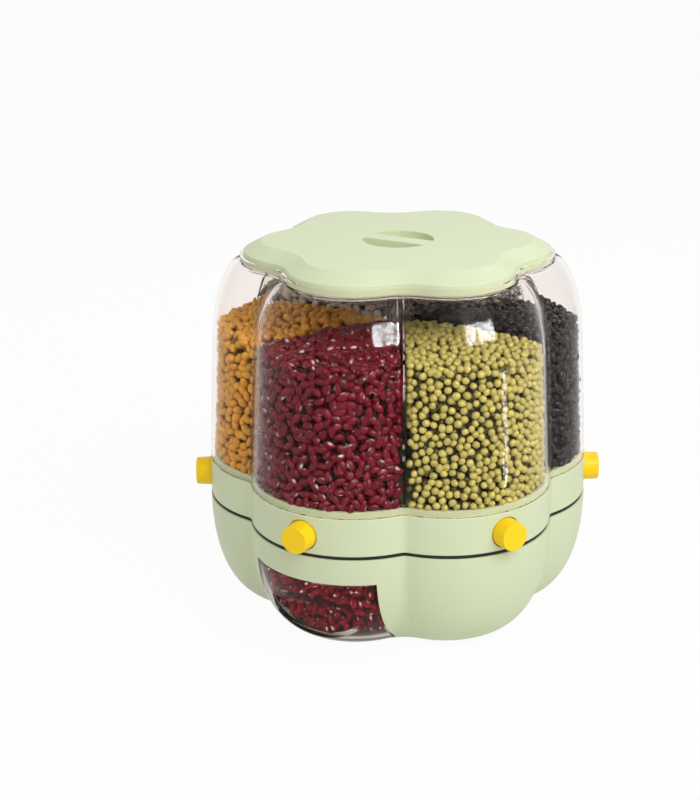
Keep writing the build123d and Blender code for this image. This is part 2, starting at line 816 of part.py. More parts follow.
rib_spread = (vane_thickness + rib_thickness) / 2 + running_gap
with BuildPart() as tank:
    loft([tank_outline(0, 0, 0), tank_outline(tank_straight, 0, 0)], ruled=True)
    loft([tank_outline(height, 0, 0) for height in shoulder_heights])
    extrude(flower(collar_reach, tank_top), amount=collar_height)
    extrude(flower(collar_reach - collar_wall, tank_top), amount=collar_height, mode=Mode.SUBTRACT)
    add(tank_inside.part, mode=Mode.SUBTRACT)
    extrude(flower(opening_reach, ledge_bottom - overrun), amount=tank_wall + 2 * overrun, mode=Mode.SUBTRACT)
    with PolarLocations(0, lobe_count, notch_start):
        with Locations((0, -rib_spread, 0), (0, rib_spread, 0)):
            add(rib_blank.part)
write(tank, "tank")

# Divider: six clear vanes round a tube, standing on the tray over the hub well
with BuildPart() as vane_blank:
    with BuildSketch(Plane.XZ):
        with BuildLine():
            wall_edge = notch_wall(tank_wall + slide_gap, lip_height + slide_gap, tank_straight)
            shoulder_edge = notch_wall(tank_wall + slide_gap, tank_straight, vane_top - ring_top)
            Polyline(
                (0, vane_top),
                (0, tray_top),
                (notch_hollow(lip_inner) - slide_gap, tray_top),
                (notch_hollow(lip_inner) - slide_gap, lip_top + slide_gap),
                *wall_edge,
            )
            Spline(*shoulder_edge)
            Line(shoulder_edge[-1], (0, vane_top))
        make_face()
    extrude(amount=vane_thickness / 2, both=True)

with BuildPart() as divider:
    with PolarLocations(0, lobe_count, notch_start):
        add(vane_blank.part)
    with Locations((0, 0, tray_top)):
        Cylinder(divider_tube_radius, vane_top - tray_top, align=AT_FOOT)
        Cylinder(divider_foot_radius, divider_foot, align=AT_FOOT)
        Cylinder(
            divider_tube_radius - divider_tube_wall,
            vane_top - tray_top,
            align=AT_FOOT,
            mode=Mode.SUBTRACT,
        )
write(divider, "divider")

# Lid: green cover with a pinch grip, an inner plate with a plug, and the seal round the plug
with BuildPart() as lid_cover:
    extrude(flower(lid_reach, lid_bottom), amount=lid_skirt_height)
    loft([flower(lid_reach, skirt_top), flower(lid_crown_reach, lid_top)], ruled=True)
    fillet(lid_cover.edges().filter_by_position(Axis.Z, skirt_top, lid_top), lid_edge)
    cover_inside = flower(lid_reach - lid_wall, lid_bottom)
    extrude(cover_inside, amount=lid_skirt_height - lid_wall, mode=Mode.SUBTRACT)
    loft(
        [
            flower(lid_reach - lid_wall, skirt_top - lid_wall),
            flower(lid_crown_reach - lid_wall, lid_top - lid_wall),
        ],
        ruled=True,
        mode=Mode.SUBTRACT,
    )
    grip_floor = lid_top - grip_depth - lid_wall
    with BuildSketch(Plane.XY.offset(grip_floor)):
        Circle(grip_radius + lid_wall)
    extrude(amount=grip_depth)
    with BuildSketch(Plane.XY.offset(lid_top)):
        Circle(grip_radius)
        Rectangle(2 * grip_radius + overrun, grip_bar, mode=Mode.SUBTRACT)
    extrude(amount=-grip_depth, mode=Mode.SUBTRACT)
    top_edges = lid_cover.edges().filter_by_position(Axis.Z, lid_top - running_gap, lid_top)
    grip_middle = Vector(0, 0, lid_top)
    grip_rim = top_edges.filter_by(lambda edge: (edge.center() - grip_middle).length < grip_radius + overrun)
    fillet(grip_rim, grip_edge)
    with Locations((0, 0, liner_top)):
        with PolarLocations(lid_post_circle, lobe_count, drawer_angle):
            Cylinder(lid_post_radius, lid_top - lid_wall - liner_top, align=AT_FOOT)
write(lid_cover, "lid_cover")

with BuildPart() as lid_liner:
    extrude(flower(lid_reach - lid_wall - seat_gap, lid_bottom), amount=liner_thickness)
    extrude(flower(plug_reach, lid_bottom - plug_depth), amount=plug_depth)
    plug_inside = flower(plug_reach - plug_wall, lid_bottom - plug_depth)
    extrude(plug_inside, amount=plug_depth, mode=Mode.SUBTRACT)
write(lid_liner, "lid_liner")

with BuildPart() as lid_seal:
    extrude(flower(opening_reach - running_gap, lid_bottom - lid_seal_height), amount=lid_seal_height)
    extrude(flower(plug_reach, lid_bottom - lid_seal_height), amount=lid_seal_height, mode=Mode.SUBTRACT)
write(lid_seal, "lid_seal")
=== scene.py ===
import json
from math import atan2, cos, pi, radians, sin, sqrt

import bpy
import numpy as np
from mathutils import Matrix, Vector


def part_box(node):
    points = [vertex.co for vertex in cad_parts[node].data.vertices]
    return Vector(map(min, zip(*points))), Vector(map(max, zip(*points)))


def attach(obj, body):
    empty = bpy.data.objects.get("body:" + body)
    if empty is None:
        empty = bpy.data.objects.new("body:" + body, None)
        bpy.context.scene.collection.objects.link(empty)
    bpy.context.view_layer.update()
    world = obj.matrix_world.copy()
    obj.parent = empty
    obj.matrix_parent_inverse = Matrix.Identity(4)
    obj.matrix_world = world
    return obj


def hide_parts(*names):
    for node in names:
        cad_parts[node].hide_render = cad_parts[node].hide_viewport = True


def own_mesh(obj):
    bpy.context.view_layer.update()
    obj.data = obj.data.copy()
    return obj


# Rotating grain dispenser: finishes for the CAD pieces, the grain in the tank and in the drawer,
# a pale floor, studio light and the photograph's camera. Metres, in the CAD frame.

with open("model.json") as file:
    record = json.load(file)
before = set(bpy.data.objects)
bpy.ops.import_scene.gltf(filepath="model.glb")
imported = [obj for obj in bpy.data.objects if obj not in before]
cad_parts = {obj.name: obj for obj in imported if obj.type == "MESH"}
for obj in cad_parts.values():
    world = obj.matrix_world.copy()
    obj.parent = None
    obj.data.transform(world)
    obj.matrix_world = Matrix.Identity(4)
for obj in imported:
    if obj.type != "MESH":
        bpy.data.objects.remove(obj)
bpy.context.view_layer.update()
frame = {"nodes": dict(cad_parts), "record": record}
nodes = frame["nodes"]

# Camera of the photograph
VIEW_TARGET = Vector((0.0, 0.0, 0.1376))
VIEW_AZIMUTH = 28.0
VIEW_ELEVATION = 20.05
VIEW_DISTANCE = 1.215
LENS_MM = 73.3
LENS_SHIFT_X = -0.060
LENS_SHIFT_Y = 0.020

# Sizes that the grain follows, the same as in the CAD
LOBE_COUNT = 6
FIRST_LOBE = -90.0
LOBE_CENTRE = 0.0644
CENTRE_SPAN = 0.0836
NOTCH_ANGLE = pi / LOBE_COUNT
NOTCH_CENTRE = LOBE_CENTRE * cos(NOTCH_ANGLE) + sqrt(
    CENTRE_SPAN**2 - (LOBE_CENTRE * sin(NOTCH_ANGLE)) ** 2
)
TANK_WALL = 0.0024
TANK_FOOT_REACH = 0.1399
TANK_TAPER = 0.0078
LIP_INNER_REACH = 0.1344
LIP_TOP = 0.115
VANE_HALF = 0.001
TUBE_RADIUS = 0.009
TANK_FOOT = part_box("tank")[0].z
TANK_HEIGHT = 0.1476
TRAY_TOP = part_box("hopper_tray")[1].z
BASE_WALL = 0.0026
BASE_REACH = 0.1405
BOWL_INSET = 0.040
BOWL_POWER = 2.25
BASE_HEIGHT = 0.0788
BOWL_INSIDE_BOTTOM = 0.005
DRAWER_HALF = 0.0475
DRAWER_BACK = 0.044
DRAWER_WALL = 0.0022
DRAWER_FLOOR = 0.0076
RECESS_BACK = 0.1188
RECESS_BACK_TOP = 0.0392
RECESS_MOUTH_TOP = 0.0452
RECESS_MOUTH_HALF = 0.0442

# Grain: its levels, and its looks
GRAIN_LEVEL = 0.216
GRAIN_HEAP = 0.006
WHITE_RISE = 0.010
PALE_RISE = 0.006
DRAWER_LEVEL = 0.0585
LAYER_STEP_SHARE = 0.85
DEEP_SHADE_SHARE = 0.3
GRAIN_GLOSS = 0.18
GRAIN_SIZE_SPREAD = 0.06
# Where the pale spot begins: the hilum on a bean's hollow side, also a painted highlight
SPOT_EDGE = 0.95

# Layers of grain in a compartment and the dark block behind them, which paints the shade inside the heap;
# the shares are of half a grain
GRAIN_LAYERS = 2
VANE_LAYER_HEIGHT = 0.045
WALL_INSET_SHARE = 1.15
WALL_PLAY_SHARE = 0.5
TOP_PLAY_SHARE = 0.8
TOP_MARGIN_SHARE = 1.1
TOP_TILT_SHARE = 1.6
VANE_INSET_SHARE = 1.2
CORE_INSET_SHARE = 3.4
CORE_VANE_SHARE = 2.8
CORE_DEPTH_SHARE = 3.2
CORE_LIFT = 0.001
CORE_RIM_POINTS = 41

# Grain in the drawer and the dark block inside it that paints the heap's shade; the shares are of a grain
DRAWER_MARGIN_SHARE = 0.6
DRAWER_CORE_SHARE = 2.2
DRAWER_TRIES = 14
DRAWER_FACING = np.array([0.0, -0.5, 0.5])
DRAWER_TILT = 0.9

# Clear plastics, floor, backdrop and lamps
PLASTIC_IOR = 1.13
SMOKY_IOR = 1.22
CLEAR_BOUNCES = 32
CLEAR_LAYERS = 48
FLOOR_SIZE = 12.0
FLOOR_COLOUR = (0.82, 0.82, 0.82)
FLOOR_ROUGHNESS = 0.9
FLOOR_WHITE_SHARE = 0.95
RAYS_TO_THE_EYE = ("Is Camera Ray", "Is Glossy Ray", "Is Transmission Ray")
WINDOW_AZIMUTH = 65.0
WINDOW_ELEVATION = 19.7
WINDOW_POWER = 55.0
WIDE_PANE_SHARE = 1.75
NARROW_PANE_TURN = -11.0
WIDE_PANE_TURN = 7.0
STRIP_POWER = 1.6
DRAWER_LAMP_POWER = 26.0
GLINT_POWER = 30.0
WORLD_STRENGTH = 0.5
WORLD_COLOUR = (1.0, 0.99, 0.975)


def srgb(red, green, blue):
    """Linear colour of an sRGB colour given in 0 to 255."""
    values = [channel / 255 for channel in (red, green, blue)]
    return tuple(v / 12.92 if v <= 0.04045 else ((v + 0.055) / 1.055) ** 2.4 for v in values)


def shade(colour, share):
    """A colour made darker or lighter by a share."""
    return tuple(channel * share for channel in colour)


def new_material(name):
    """A material with its node tree emptied, and its output node."""
    material = bpy.data.materials.new(name)
    material.use_nodes = True
    tree = material.node_tree
    tree.nodes.clear()
    output = tree.nodes.new("ShaderNodeOutputMaterial")
    return material, tree, output


def principled(tree, output, colour, roughness):
    """A Principled shader on the output."""
    shader = tree.nodes.new("ShaderNodeBsdfPrincipled")
    shader.inputs["Base Color"].default_value = (*colour, 1.0)
    shader.inputs["Roughness"].default_value = roughness
    tree.links.new(shader.outputs["BSDF"], output.inputs["Surface"])
    return shader


def add_grain_bump(tree, shader, scale, strength, distance):
    """Fine moulded texture on a plastic."""
    coordinates = tree.nodes.new("ShaderNodeTexCoord")
    noise = tree.nodes.new("ShaderNodeTexNoise")
    noise.inputs["Scale"].default_value = scale
    bump = tree.nodes.new("ShaderNodeBump")
    bump.inputs["Strength"].default_value = strength
    bump.inputs["Distance"].default_value = distance
    tree.links.new(coordinates.outputs["Object"], noise.inputs["Vector"])
    tree.links.new(noise.outputs["Fac"], bump.inputs["Height"])
    tree.links.new(bump.outputs["Normal"], shader.inputs["Normal"])


def solid_plastic(name, colour, roughness, gloss=0.5):
    """Opaque moulded plastic with a faint texture."""
    material, tree, output = new_material(name)
    shader = principled(tree, output, colour, roughness)
    shader.inputs["Specular IOR Level"].default_value = gloss
    add_grain_bump(tree, shader, scale=900.0, strength=0.06, distance=0.0002)
    return material


def either_ray(tree, first, *others):
    """One when the ray is of any of the kinds named."""
    path = tree.nodes.new("ShaderNodeLightPath")
    answer = path.outputs[first]
    for other in others:
        either = tree.nodes.new("ShaderNodeMath")
        either.operation = "MAXIMUM"
        tree.links.new(answer, either.inputs[0])
        tree.links.new(path.outputs[other], either.inputs[1])
        answer = either.outputs["Value"]
    return answer


def clear_plastic(name, tint, roughness, passing_tint, ior=PLASTIC_IOR):
    """Clear moulded plastic that bends what is seen through it and lets most of the lamps' light through."""
    material, tree, output = new_material(name)
    shader = principled(tree, output, tint, roughness)
    shader.inputs["Transmission Weight"].default_value = 1.0
    shader.inputs["IOR"].default_value = ior
    passing = tree.nodes.new("ShaderNodeBsdfTransparent")
    passing.inputs["Color"].default_value = (*passing_tint, 1.0)
    choice = tree.nodes.new("ShaderNodeMixShader")
    tree.links.new(either_ray(tree, "Is Shadow Ray", "Is Diffuse Ray"), choice.inputs["Fac"])
    tree.links.new(shader.outputs["BSDF"], choice.inputs[1])
    tree.links.new(passing.outputs["BSDF"], choice.inputs[2])
    tree.links.new(choice.outputs["Shader"], output.inputs["Surface"])
    return material


def rubber(name, colour, roughness):
    """Matt rubber or silicone."""
    material, tree, output = new_material(name)
    shader = principled(tree, output, colour, roughness)
    add_grain_bump(tree, shader, scale=600.0, strength=0.1, distance=0.0002)
    return material


def metal(name, colour, roughness):
    """Plated or drawn steel."""
    material, tree, output = new_material(name)
    shader = principled(tree, output, colour, roughness)
    shader.inputs["Metallic"].default_value = 1.0
    add_grain_bump(tree, shader, scale=1500.0, strength=0.05, distance=0.0001)
    return material


def grain_material(name, dark, light, roughness, spot=None):
    """Skin of one kind of grain: a random tone for each grain, painted shade on the inner layer and the dark
    block, and a pale spot where marked: the hilum, which is also a painted highlight.
    """
    material, tree, output = new_material(name)
    shader = principled(tree, output, light, roughness)
    shader.inputs["Specular IOR Level"].default_value = GRAIN_GLOSS
    geometry = tree.nodes.new("ShaderNodeNewGeometry")
    tone = tree.nodes.new("ShaderNodeMix")
    tone.data_type = "RGBA"
    tone.inputs["A"].default_value = (*dark, 1.0)
    tone.inputs["B"].default_value = (*light, 1.0)
    tree.links.new(geometry.outputs["Random Per Island"], tone.inputs["Factor"])
    # Painted shade: grains of the inner layer and the dark block turn towards a darkened share of the dark
    # tone
    shade_depth = tree.nodes.new("ShaderNodeAttribute")
    shade_depth.attribute_name = "shade_depth"
    painted_deep_shade = tree.nodes.new("ShaderNodeMix")
    painted_deep_shade.data_type = "RGBA"
    painted_deep_shade.inputs["B"].default_value = (*shade(dark, DEEP_SHADE_SHARE), 1.0)
    tree.links.new(shade_depth.outputs["Fac"], painted_deep_shade.inputs["Factor"])
    tree.links.new(tone.outputs["Result"], painted_deep_shade.inputs["A"])
    colour = painted_deep_shade.outputs["Result"]
    # Pale spot: the bean's hilum, also a painted highlight
    if spot:
        mark = tree.nodes.new("ShaderNodeAttribute")
        mark.attribute_name = "spot"
        spotted = tree.nodes.new("ShaderNodeMix")
        spotted.data_type = "RGBA"
        spotted.inputs["B"].default_value = (*spot, 1.0)
        tree.links.new(mark.outputs["Fac"], spotted.inputs["Factor"])
        tree.links.new(colour, spotted.inputs["A"])
        colour = spotted.outputs["Result"]
    tree.links.new(colour, shader.inputs["Base Color"])
    return material


# Finishes of the CAD pieces, by the record's material slots
finishes = {
    "green_plastic": solid_plastic("pale green plastic", srgb(207, 217, 181), 0.42, 0.2),
    "clear_plastic": clear_plastic("clear plastic", srgb(250, 246, 243), 0.02, srgb(252, 250, 248)),
    "smoky_plastic": clear_plastic(
        "smoky clear plastic", srgb(184, 174, 166), 0.03, srgb(240, 236, 232), SMOKY_IOR
    ),
    "yellow_plastic": solid_plastic("yellow plastic", srgb(250, 208, 4), 0.36, 0.3),
    "white_plastic": solid_plastic("white low-friction plastic", srgb(232, 232, 226), 0.45),
    # Rubber near black; on the rim seal in the gap between base and ring, its black is also a painted shadow
    # of that gap
    "black_rubber": rubber("black rubber and painted gap shadow", srgb(8, 8, 8), 0.7),
    "silicone": rubber("white silicone", srgb(228, 232, 228), 0.5),
    "steel": metal("plated steel", srgb(205, 205, 208), 0.3),
    "spring_steel": metal("spring wire", srgb(190, 192, 196), 0.3),
}
for entry in frame["record"]["subparts"]:
    mesh = nodes[entry["node"]].data
    mesh.materials.clear()
    mesh.materials.append(finishes[entry["material_slot"]])


def lobe_frame(number):
    """Outward and sideways directions of a lobe, in plan."""
    angle = radians(FIRST_LOBE + 360.0 / LOBE_COUNT * (number - 1))
    return np.array([cos(angle), sin(angle)]), np.array([-sin(angle), cos(angle)])


NOTCH_PLACE = np.array([NOTCH_CENTRE * cos(NOTCH_ANGLE), NOTCH_CENTRE * sin(NOTCH_ANGLE)])
LOBE_PLACE = np.array([LOBE_CENTRE, 0.0])
TURN_OVER = atan2(NOTCH_PLACE[1], NOTCH_PLACE[0] - LOBE_CENTRE)


def outline_half(reach):
    """Length of the flower outline from the middle of a lobe to the middle of a notch."""
    lobe_radius = reach - LOBE_CENTRE
    return lobe_radius * TURN_OVER + (CENTRE_SPAN - lobe_radius) * (TURN_OVER - NOTCH_ANGLE)


def outline_point(reach, along):
    """Point of the flower outline in the lobe's own plan, and the direction in which it faces."""
    lobe_radius = reach - LOBE_CENTRE
    side = 1.0 if along >= 0 else -1.0
    rest = abs(along) - lobe_radius * TURN_OVER
    if rest <= 0:
        facing = abs(along) / lobe_radius
        point = LOBE_PLACE + lobe_radius * np.array([cos(facing), sin(facing)])
    else:
        hollow_radius = CENTRE_SPAN - lobe_radius
        facing = TURN_OVER - rest / hollow_radius
        point = NOTCH_PLACE - hollow_radius * np.array([cos(facing), sin(facing)])
    return point * (1.0, side), side * facing


def off_nearest_vane(point):
    """Distance of a point in the lobe's plan from the middle of the nearer vane."""
    return point[0] * sin(NOTCH_ANGLE) - abs(point[1]) * cos(NOTCH_ANGLE)


def inside_lobe(point, reach, margin):
    """Whether a point in the lobe's plan is inside the flower outline and off the vanes and the tube."""
    u, v = point[0], abs(point[1])
    if off_nearest_vane(point) < VANE_HALF + margin:
        return False
    if u * u + v * v < (TUBE_RADIUS + margin) ** 2:
        return False
    lobe_radius = reach - margin - LOBE_CENTRE
    place = np.array([u, v])
    if atan2(v, u - LOBE_CENTRE) <= TURN_OVER:
        return np.linalg.norm(place - LOBE_PLACE) <= lobe_radius
    return np.linalg.norm(place - NOTCH_PLACE) >= CENTRE_SPAN - lobe_radius


def tank_inside_reach(height):
    """Reach of the tank's inside at a height, below its shoulder; the lip narrows it at the foot."""
    if height < LIP_TOP:
        return LIP_INNER_REACH
    return TANK_FOOT_REACH - TANK_TAPER * (height - TANK_FOOT) / TANK_HEIGHT - TANK_WALL


def scattered(low, high, spacing, random, tries=30):
    """Points in a box that keep at least the spacing from each other, in random places."""
    low, high = np.array(low), np.array(high)
    size = np.maximum(((high - low) / spacing).astype(int) + 1, 1)
    attempts = int(np.prod(size) * tries)
    cells = {}
    kept = []
    steps = [np.array(step) for step in np.ndindex(*([3] * len(low)))]
    for candidate in low + random.random((attempts, len(low))) * (high - low):
        cell = ((candidate - low) / spacing).astype(int)
        near = (cells.get(tuple(cell + step - 1)) for step in steps)
        if any(np.sum((other - candidate) ** 2) < spacing**2 for group in near if group for other in group):
            continue
        cells.setdefault(tuple(cell), []).append(candidate)
        kept.append(candidate)
    return kept


def grain_shape(length, width, thickness, bend, segments, rings):
    """Vertices, faces and spot weights of one grain: an ellipsoid along X, bent towards +Y."""
    vertices = [(-1.0, 0.0, 0.0)]
    for ring in range(1, rings):
        lean = pi * ring / rings
        for step in range(segments):
            turn = 2 * pi * step / segments
            vertices.append((-cos(lean), sin(lean) * cos(turn), sin(lean) * sin(turn)))
    vertices.append((1.0, 0.0, 0.0))
    last = len(vertices) - 1
    faces = []
    for step in range(segments):
        after = (step + 1) % segments
        faces.append((0, 1 + after, 1 + step))
        for ring in range(rings - 2):
            here, there = 1 + ring * segments, 1 + (ring + 1) * segments
            faces.append((here + step, here + after, there + after))
            faces.append((here + step, there + after, there + step))
        top = 1 + (rings - 2) * segments
        faces.append((last, top + step, top + after))
    unit = np.array(vertices)
    shape = unit * (length / 2, width / 2, thickness / 2)
    shape[:, 1] += bend * unit[:, 0] ** 2
    shape[:, 1] -= bend / 2
    # Spot weights on the hollow side: the hilum, also a painted highlight
    eye = np.array([0.0, 1.0, 0.0])
    spots = unit @ eye > SPOT_EDGE
    return shape, np.array(faces), spots.astype(np.float32)


def facing_basis(outward, random, tilt):
    """Axes of a grain that lies against a surface: its thin side faces out, turned and tilted at random."""
    outward = outward + random.normal(0, tilt, 3)
    outward = outward / np.linalg.norm(outward)
    along = random.normal(0, 1, 3)
    along = along - outward * (along @ outward)
    along = along / np.linalg.norm(along)
    return np.array([along, np.cross(outward, along), outward])


def grain_mesh(name, shape, faces, spots, placed, material, core, core_painted_shade_material, random):
    """One mesh of many grains and of the dark block behind them that paints the shade inside the heap; inner
    grains carry a painted shade weight.
    """
    corners, triangles, marks, shade_depths = [], [], [], []
    count = 0
    for place, basis, shade_depth in placed:
        scale = 1 + random.normal(0, GRAIN_SIZE_SPREAD)
        corners.append(place + (shape * scale) @ basis)
        triangles.append(faces + count)
        marks.append(spots)
        # Inner layers carry a weight for painted shade
        shade_depths.append(np.full(len(shape), shade_depth, np.float32))
        count += len(shape)
    grain_faces = sum(len(group) for group in triangles)
    for block_corners, block_faces in core:
        corners.append(block_corners)
        triangles.append(block_faces + count)
        marks.append(np.zeros(len(block_corners), np.float32))
        shade_depths.append(np.ones(len(block_corners), np.float32))
        count += len(block_corners)
    corners, triangles = np.concatenate(corners), np.concatenate(triangles)
    mesh = bpy.data.meshes.new(name)
    mesh.vertices.add(len(corners))
    mesh.vertices.foreach_set("co", corners.astype(np.float32).ravel())
    mesh.loops.add(triangles.size)
    mesh.loops.foreach_set("vertex_index", triangles.astype(np.int32).ravel())
    mesh.polygons.add(len(triangles))
    mesh.polygons.foreach_set("loop_start", np.arange(0, triangles.size, 3, dtype=np.int32))
    in_core = np.arange(len(triangles)) >= grain_faces
    mesh.polygons.foreach_set("use_smooth", ~in_core)
    mesh.polygons.foreach_set("material_index", in_core.astype(np.int32))
    mesh.attributes.new("spot", "FLOAT", "POINT").data.foreach_set("value", np.concatenate(marks))
    mesh.attributes.new("shade_depth", "FLOAT", "POINT").data.foreach_set("value", np.concatenate(shade_depths))
    mesh.materials.append(material)
    mesh.materials.append(core_painted_shade_material)
    mesh.update()
    mesh.validate()
    piece = bpy.data.objects.new(name, mesh)
    bpy.context.scene.collection.objects.link(piece)
    return piece


def prism(outline, bottom, top):
    """Closed block over a plan outline, as vertices and triangles."""
    count = len(outline)
    ring = np.array(outline)
    corners = np.concatenate([
        np.column_stack([ring, np.full(count, bottom)]),
        np.column_stack([ring, np.full(count, top)]),
        [[*ring.mean(0), bottom], [*ring.mean(0), top]],
    ])
    faces = []
    for step in range(count):
        after = (step + 1) % count
        faces.append((step, after, count + after))
        faces.append((step, count + after, count + step))
        faces.append((2 * count, after, step))
        faces.append((2 * count + 1, count + step, count + after))
    return corners, np.array(faces)


def fill_compartment(
    name, number, size, bend, spacing, facets, skin, core_painted_shade, seed, tilt, level=GRAIN_LEVEL
):
    """Grain in one compartment: layers on the wall, on top and on the vanes, and a dark block inside that
    paints the heap's shade.
    """
    random = np.random.default_rng(seed)
    outward, sideways = lobe_frame(number)
    shape, faces, spots = grain_shape(*size, bend, *facets)
    half_thick = size[2] / 2
    half_wide = size[1] / 2

    def in_world(point, height):
        flat = outward * point[0] + sideways * point[1]
        return np.array([flat[0], flat[1], height])

    def level_at(point):
        away = np.linalg.norm(point - LOBE_PLACE) / (TANK_FOOT_REACH - LOBE_CENTRE)
        return level + GRAIN_HEAP * (0.5 - away)

    placed = []
    for layer in range(GRAIN_LAYERS):
        inset = half_thick * (WALL_INSET_SHARE + 2 * LAYER_STEP_SHARE * layer)
        bottom = TRAY_TOP + half_wide
        longest = outline_half(tank_inside_reach(bottom))
        for along, height in scattered((-longest, bottom), (longest, level), spacing, random):
            reach = tank_inside_reach(height) - inset - random.random() * half_thick * WALL_PLAY_SHARE
            if abs(along) > outline_half(reach):
                continue
            point, facing = outline_point(reach, along)
            if off_nearest_vane(point) < VANE_HALF + half_wide or height > level_at(point) - half_thick:
                continue
            normal = outward * cos(facing) + sideways * sin(facing)
            basis = facing_basis(np.array([normal[0], normal[1], 0.0]), random, tilt)
            # The layer number is also the weight of painted shade
            placed.append((in_world(point, height), basis, float(layer)))
    for layer in range(GRAIN_LAYERS):
        wide = TANK_FOOT_REACH
        for point in scattered((0.0, -wide / 2), (wide, wide / 2), spacing, random):
            height = level_at(point) - half_thick * (1 + 2 * LAYER_STEP_SHARE * layer)
            height += random.random() * half_thick * TOP_PLAY_SHARE
            if inside_lobe(point, tank_inside_reach(height), half_wide * TOP_MARGIN_SHARE):
                basis = facing_basis(np.array([0.0, 0.0, 1.0]), random, tilt * TOP_TILT_SHARE)
                placed.append((in_world(point, height), basis, float(layer)))
    for side in (-1, 1):
        along_vane = np.array([cos(NOTCH_ANGLE), side * sin(NOTCH_ANGLE)])
        off_vane = np.array([sin(NOTCH_ANGLE), -side * cos(NOTCH_ANGLE)])
        normal = outward * off_vane[0] + sideways * off_vane[1]
        low = (TUBE_RADIUS + half_wide, level - VANE_LAYER_HEIGHT)
        for along, height in scattered(low, (TANK_FOOT_REACH, level), spacing, random):
            point = along_vane * along + off_vane * (VANE_HALF + half_thick * VANE_INSET_SHARE)
            covered = height < level_at(point) - half_thick
            if covered and inside_lobe(point, tank_inside_reach(height), half_thick):
                basis = facing_basis(np.array([-normal[0], -normal[1], 0.0]), random, tilt)
                placed.append((in_world(point, height), basis, 0.0))

    # Dark block inside the heap, a painted shade behind the grains
    core_reach = tank_inside_reach(level) - half_thick * CORE_INSET_SHARE
    half = outline_half(core_reach)
    stations = np.linspace(-half, half, CORE_RIM_POINTS)
    rim = [outline_point(core_reach, along)[0] for along in stations]
    clear = VANE_HALF + half_thick * CORE_VANE_SHARE
    rim = [point for point in rim if off_nearest_vane(point) > clear]
    inner = clear / sin(NOTCH_ANGLE) + TUBE_RADIUS
    rim.append(np.array([inner, 0.0]))
    plan = [outward * point[0] + sideways * point[1] for point in rim]
    core = [prism(plan, TRAY_TOP + CORE_LIFT, level - half_thick * CORE_DEPTH_SHARE)]
    piece = grain_mesh(name, shape, faces, spots, placed, skin, core, core_painted_shade, random)
    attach(piece, "rotor")
    return piece


def bowl_inside_reach(height):
    """Reach of the bowl's inside at a height."""
    share = min(max((height - BOWL_INSIDE_BOTTOM) / BASE_HEIGHT, 0.0), 1.0)
    round_share = (1 - (1 - share) ** BOWL_POWER) ** (1 / BOWL_POWER)
    return BASE_REACH - BOWL_INSET * (1 - round_share) - BASE_WALL


def inside_cup(point, margin):
    """Whether a point is inside the drawer's cup, off its walls and off the finger recess."""
    x, y, z = abs(point[0]), -point[1], point[2]
    if x > DRAWER_HALF - DRAWER_WALL - margin or y < DRAWER_BACK + DRAWER_WALL + margin:
        return False
    if sqrt(x * x + (y - LOBE_CENTRE) ** 2) > bowl_inside_reach(z - margin) - LOBE_CENTRE - margin:
        return False
    if y < RECESS_BACK - margin:
        return True
    out_share = min(max((y - RECESS_BACK) / (BASE_REACH - RECESS_BACK), 0.0), 1.0)
    top = RECESS_BACK_TOP + (RECESS_MOUTH_TOP - RECESS_BACK_TOP) * out_share
    return z > top + margin or x > RECESS_MOUTH_HALF + margin


def fill_drawer(name, size, bend, spacing, facets, skin, core_painted_shade, seed):
    """Grain all through the drawer's cup, and a dark block inside that paints the heap's shade."""
    random = np.random.default_rng(seed)
    shape, faces, spots = grain_shape(*size, bend, *facets)
    margin = size[2] * DRAWER_MARGIN_SHARE
    low = (-DRAWER_HALF, -BASE_REACH, DRAWER_FLOOR + margin)
    high = (DRAWER_HALF, -DRAWER_BACK, DRAWER_LEVEL)
    placed = []
    for point in scattered(low, high, spacing, random, tries=DRAWER_TRIES):
        if inside_cup(point, margin):
            placed.append((point, facing_basis(DRAWER_FACING, random, DRAWER_TILT), 0.0))
    # Dark block inside the cup, a painted shade behind the grains
    half = DRAWER_HALF - DRAWER_WALL - size[0]
    front = RECESS_BACK - size[0] * DRAWER_CORE_SHARE
    back = DRAWER_BACK + DRAWER_WALL + size[0]
    plan = [(-half, -front), (half, -front), (half, -back), (-half, -back)]
    core = [prism(plan, DRAWER_FLOOR + size[0], DRAWER_LEVEL - size[0])]
    piece = grain_mesh(name, shape, faces, spots, placed, skin, core, core_painted_shade, random)
    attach(piece, "drawer")
    return piece


# Colours, sizes and facets of the grain
RED = srgb(104, 8, 26)
GREEN = srgb(186, 177, 96)
BLACK = srgb(26, 22, 22)
SPECKLED = srgb(225, 222, 214)
PALE = srgb(212, 206, 194)
YELLOW = srgb(216, 156, 52)
KIDNEY_SIZE = (0.0095, 0.0058, 0.0050)
KIDNEY_BEND = 0.0009
DRAWER_KIDNEY_SIZE = (0.0084, 0.0052, 0.0045)
KIDNEY_FACETS = (10, 6)
OVAL_FACETS = (9, 6)
ROUND_FACETS = (8, 5)
SMALL_FACETS = (7, 4)

# Kidney beans carry a pale spot: their hilum, also a painted highlight
red_skin = grain_material("kidney bean skin", shade(RED, 0.7), shade(RED, 1.15), 0.14, srgb(235, 215, 215))
green_skin = grain_material("mung bean skin", shade(GREEN, 0.75), shade(GREEN, 1.05), 0.4)
black_skin = grain_material("black bean skin", shade(BLACK, 0.7), shade(BLACK, 1.3), 0.2)
speckled_skin = grain_material("white grain", shade(SPECKLED, 0.25), SPECKLED, 0.5)
pale_skin = grain_material("pale seed", shade(PALE, 0.75), PALE, 0.45)
yellow_skin = grain_material("yellow bean skin", shade(YELLOW, 0.8), shade(YELLOW, 1.05), 0.4)
